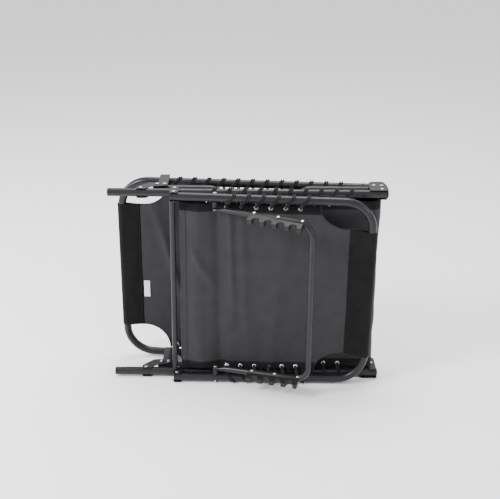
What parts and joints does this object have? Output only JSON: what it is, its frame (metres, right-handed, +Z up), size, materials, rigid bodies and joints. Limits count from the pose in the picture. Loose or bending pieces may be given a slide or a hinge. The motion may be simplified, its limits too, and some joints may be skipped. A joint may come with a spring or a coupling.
{
  "type": "folding camp lounger",
  "caption": "Tri-fold reclining camp lounger in steel tube with laced cloth, folded flat, with hinged backrest, notched prop, foot section and two hoop legs.",
  "frame": {"origin": "centre of the footprint, on the floor plane that the folded lounger's lower long edge stands on", "axes": "+X along the side rails towards the foot hinge, +Y through the pack from the backrest to the foot section, +Z up, across the lounger's width"},
  "size_m": [0.7406, 0.2871, 0.562],
  "materials": {
    "powder_coat": "satin powder coat",
    "black_plastic": "moulded, fine grain",
    "rivet_steel": "bright zinc",
    "cloth": "coated plain weave",
    "elastic": "braided cover",
    "label": "blank woven label"
  },
  "bodies": {
    "seat": {"seat_rail_top": "powder_coat", "seat_rail_bottom": "powder_coat", "rear_plug_top": "black_plastic", "rear_plug_bottom": "black_plastic", "front_plug_top": "black_plastic", "front_plug_bottom": "black_plastic", "crossbar": "powder_coat", "back_hinge_plate_outer_top": "powder_coat", "back_hinge_plate_outer_bottom": "powder_coat", "back_hinge_plate_inner_top": "powder_coat", "back_hinge_plate_inner_bottom": "powder_coat", "corner_plate_top": "powder_coat", "corner_plate_bottom": "powder_coat", "back_hinge_pin_top": "rivet_steel", "back_hinge_pin_bottom": "rivet_steel", "hinge_plate_rivet_top": "rivet_steel", "hinge_plate_rivet_bottom": "rivet_steel", "corner_plate_rivet_top": "rivet_steel", "corner_plate_rivet_bottom": "rivet_steel", "foot_hinge_pin_top": "rivet_steel", "foot_hinge_pin_bottom": "rivet_steel", "front_leg_pin_top": "rivet_steel", "front_leg_pin_bottom": "rivet_steel", "seat_fabric": "cloth", "seat_lacing_top": "elastic", "seat_lacing_bottom": "elastic"},
    "backrest": {"backrest_frame": "powder_coat", "backrest_fabric": "cloth", "backrest_lacing_top": "elastic", "backrest_lacing_bottom": "elastic"},
    "prop": {"prop_frame": "powder_coat", "rack_top": "black_plastic", "rack_bottom": "black_plastic", "prop_spacer_top": "black_plastic", "prop_spacer_bottom": "black_plastic", "prop_pin_top": "rivet_steel", "prop_pin_bottom": "rivet_steel"},
    "foot_section": {"foot_frame": "powder_coat", "foot_fabric": "cloth", "blank_label": "label", "foot_lacing_top": "elastic", "foot_lacing_bottom": "elastic", "foot_link_plate_top": "powder_coat", "foot_link_plate_bottom": "powder_coat", "foot_plate_rivet_top": "rivet_steel", "foot_plate_rivet_bottom": "rivet_steel"},
    "rear_leg": {"rear_leg_frame": "powder_coat", "rear_leg_bracket_outer_top": "black_plastic", "rear_leg_bracket_outer_bottom": "black_plastic", "rear_leg_bracket_inner_top": "black_plastic", "rear_leg_bracket_inner_bottom": "black_plastic", "rear_leg_pin_top": "rivet_steel", "rear_leg_pin_bottom": "rivet_steel", "rear_leg_rivet_1_top": "rivet_steel", "rear_leg_rivet_1_bottom": "rivet_steel", "rear_leg_rivet_2_top": "rivet_steel", "rear_leg_rivet_2_bottom": "rivet_steel", "rail_cradle_top": "black_plastic", "rail_cradle_bottom": "black_plastic"},
    "front_leg": {"front_leg_frame": "powder_coat"}
  },
  "joints": [
    {"name": "backrest_hinge", "type": "hinge", "parent": "seat", "child": "backrest", "pos_m": [-0.1935, -0.02658, 0.281], "axis": [0, 0, -1], "range_deg": [0, 177]},
    {"name": "prop_hinge", "type": "hinge", "parent": "backrest", "child": "prop", "pos_m": [-0.0865, -0.03188, 0.281], "axis": [0, 0, -1], "range_deg": [-8, 35]},
    {"name": "foot_hinge", "type": "hinge", "parent": "seat", "child": "foot_section", "pos_m": [0.3555, 0.03542, 0.281], "axis": [0, 0, -1], "range_deg": [0, 180]},
    {"name": "rear_leg_hinge", "type": "hinge", "parent": "seat", "child": "rear_leg", "pos_m": [-0.282, 0.00442, 0.281], "axis": [0, 0, 1], "range_deg": [0, 100]},
    {"name": "front_leg_hinge", "type": "hinge", "parent": "seat", "child": "front_leg", "pos_m": [0.3345, 0.03842, 0.281], "axis": [0, 0, -1], "range_deg": [0, 100]}
  ],
  "couplings": [
    {"joint": "rear_leg_hinge", "follows": "foot_hinge", "ratio": 0.5},
    {"joint": "front_leg_hinge", "follows": "foot_hinge", "ratio": 0.5}
  ]
}
